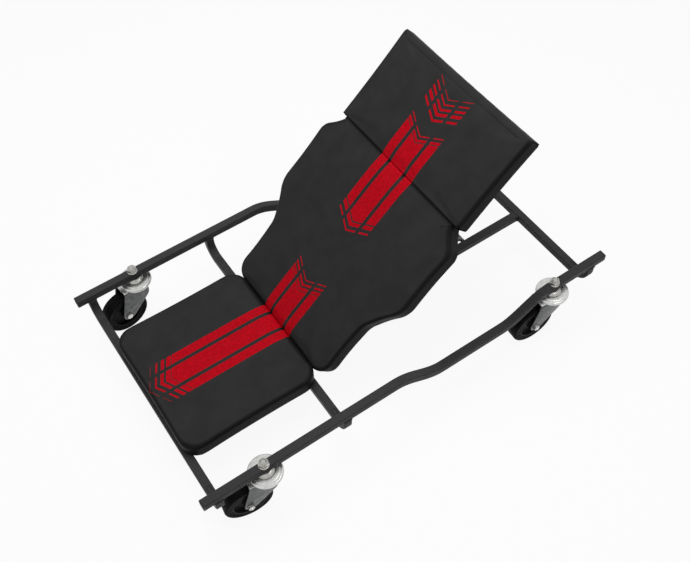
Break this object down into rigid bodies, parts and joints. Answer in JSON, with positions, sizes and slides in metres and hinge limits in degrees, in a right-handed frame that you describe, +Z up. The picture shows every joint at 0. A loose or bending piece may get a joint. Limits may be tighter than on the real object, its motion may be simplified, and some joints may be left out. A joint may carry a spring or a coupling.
{
  "type": "mechanic creeper",
  "caption": "Low mechanic creeper: a square-tube frame on swivel castors with a padded seat and a padded backrest that tilts up on a notched prop.",
  "frame": {"origin": "on the floor, under the middle of the frame", "axes": "+Z up, +X from the seat to the head end, +Y to the left of a person lying on it face up with the head at +X"},
  "size_m": [1.028, 0.6364, 0.5659],
  "materials": {
    "frame_paint": "satin",
    "zinc": "satin",
    "vinyl": "satin",
    "board": "matte",
    "plug": "matte",
    "tyre": "satin",
    "hub": "satin"
  },
  "bodies": {
    "frame": {"side_rail_left": "frame_paint", "spine_rail_left": "frame_paint", "hinge_bracket_left": "frame_paint", "notch_rack_left": "frame_paint", "hinge_pin_left": "zinc", "side_rail_right": "frame_paint", "spine_rail_right": "frame_paint", "hinge_bracket_right": "frame_paint", "notch_rack_right": "frame_paint", "hinge_pin_right": "zinc", "front_cross_tube": "frame_paint", "middle_cross_tube": "frame_paint", "rear_cross_tube": "frame_paint", "rail_plug_front_left": "plug", "rail_plug_front_right": "plug", "rail_plug_rear_left": "plug", "rail_plug_rear_right": "plug", "seat_board": "board", "seat_pad": "vinyl", "castor_stem_front_left": "zinc", "castor_nut_front_left": "zinc", "castor_stem_front_right": "zinc", "castor_nut_front_right": "zinc", "castor_stem_rear_left": "zinc", "castor_nut_rear_left": "zinc", "castor_stem_rear_right": "zinc", "castor_nut_rear_right": "zinc"},
    "backrest": {"back_frame_left": "frame_paint", "back_frame_right": "frame_paint", "back_board": "board", "back_pad": "vinyl", "head_board": "board", "head_pad": "vinyl", "prop_saddle": "zinc"},
    "prop": {"prop_stay": "zinc"},
    "castor_front_left": {"castor_fork_front_left": "zinc", "axle_bolt_front_left": "zinc", "axle_nut_front_left": "zinc", "axle_sleeve_front_left": "zinc"},
    "wheel_front_left": {"wheel_tyre_front_left": "tyre", "wheel_hub_front_left": "hub"},
    "castor_front_right": {"castor_fork_front_right": "zinc", "axle_bolt_front_right": "zinc", "axle_nut_front_right": "zinc", "axle_sleeve_front_right": "zinc"},
    "wheel_front_right": {"wheel_tyre_front_right": "tyre", "wheel_hub_front_right": "hub"},
    "castor_rear_left": {"castor_fork_rear_left": "zinc", "axle_bolt_rear_left": "zinc", "axle_nut_rear_left": "zinc", "axle_sleeve_rear_left": "zinc"},
    "wheel_rear_left": {"wheel_tyre_rear_left": "tyre", "wheel_hub_rear_left": "hub"},
    "castor_rear_right": {"castor_fork_rear_right": "zinc", "axle_bolt_rear_right": "zinc", "axle_nut_rear_right": "zinc", "axle_sleeve_rear_right": "zinc"},
    "wheel_rear_right": {"wheel_tyre_rear_right": "tyre", "wheel_hub_rear_right": "hub"}
  },
  "joints": [
    {"name": "back_recline", "type": "hinge", "parent": "frame", "child": "backrest", "pos_m": [-0.1538, 0, 0.0925], "axis": [0, 1, 0], "range_deg": [0, 42]},
    {"name": "prop_fold", "type": "hinge", "parent": "backrest", "child": "prop", "pos_m": [0.02931, 0, 0.26276], "axis": [0, 1, 0], "range_deg": [-72.3, 0]},
    {"name": "swivel_front_left", "type": "hinge", "parent": "frame", "child": "castor_front_left", "pos_m": [-0.374, 0.28375, 0.13], "axis": [0, 0, 1], "continuous": true},
    {"name": "roll_front_left", "type": "hinge", "parent": "castor_front_left", "child": "wheel_front_left", "pos_m": [-0.42263, 0.27778, 0.0535], "axis": [-0.1219, 0.9925, 0], "continuous": true},
    {"name": "swivel_front_right", "type": "hinge", "parent": "frame", "child": "castor_front_right", "pos_m": [-0.374, -0.28375, 0.13], "axis": [0, 0, 1], "continuous": true},
    {"name": "roll_front_right", "type": "hinge", "parent": "castor_front_right", "child": "wheel_front_right", "pos_m": [-0.42263, -0.27778, 0.0535], "axis": [0.1219, 0.9925, 0], "continuous": true},
    {"name": "swivel_rear_left", "type": "hinge", "parent": "frame", "child": "castor_rear_left", "pos_m": [0.369, 0.28375, 0.13], "axis": [0, 0, 1], "continuous": true},
    {"name": "roll_rear_left", "type": "hinge", "parent": "castor_rear_left", "child": "wheel_rear_left", "pos_m": [0.32005, 0.28161, 0.0535], "axis": [-0.0436, 0.999, 0], "continuous": true},
    {"name": "swivel_rear_right", "type": "hinge", "parent": "frame", "child": "castor_rear_right", "pos_m": [0.369, -0.28375, 0.13], "axis": [0, 0, 1], "continuous": true},
    {"name": "roll_rear_right", "type": "hinge", "parent": "castor_rear_right", "child": "wheel_rear_right", "pos_m": [0.32005, -0.28161, 0.0535], "axis": [0.0436, 0.999, 0], "continuous": true}
  ],
  "couplings": [
    {"joint": "prop_fold", "follows": "back_recline", "ratio": -1.7203}
  ]
}
